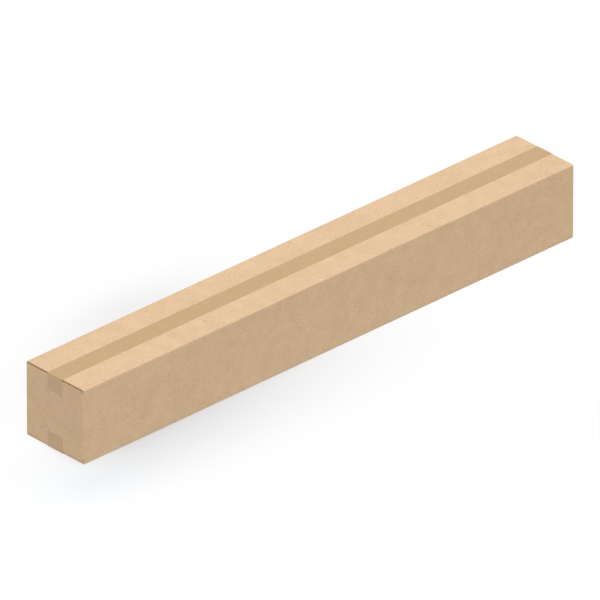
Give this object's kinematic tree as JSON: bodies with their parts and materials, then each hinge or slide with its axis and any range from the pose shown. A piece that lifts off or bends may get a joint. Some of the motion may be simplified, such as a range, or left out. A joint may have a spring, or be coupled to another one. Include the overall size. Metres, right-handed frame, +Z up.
{
  "type": "double wall cardboard box",
  "caption": "Long square-section shipping carton of double wall board, folded and glued from one slotted sheet and taped shut along its top and bottom seams.",
  "frame": {"origin": "centre of the underside, on the surface that the box stands on", "axes": "+X along the box's length and both seams, +Y across its width, towards the long wall with the glued joint, +Z up"},
  "size_m": [1.2002, 0.149, 0.1502],
  "materials": {
    "kraft_board": "matte",
    "packing_tape": "satin"
  },
  "bodies": {
    "root": {"carton": "kraft_board", "top_tape": "packing_tape", "bottom_tape": "packing_tape"}
  },
  "joints": []
}
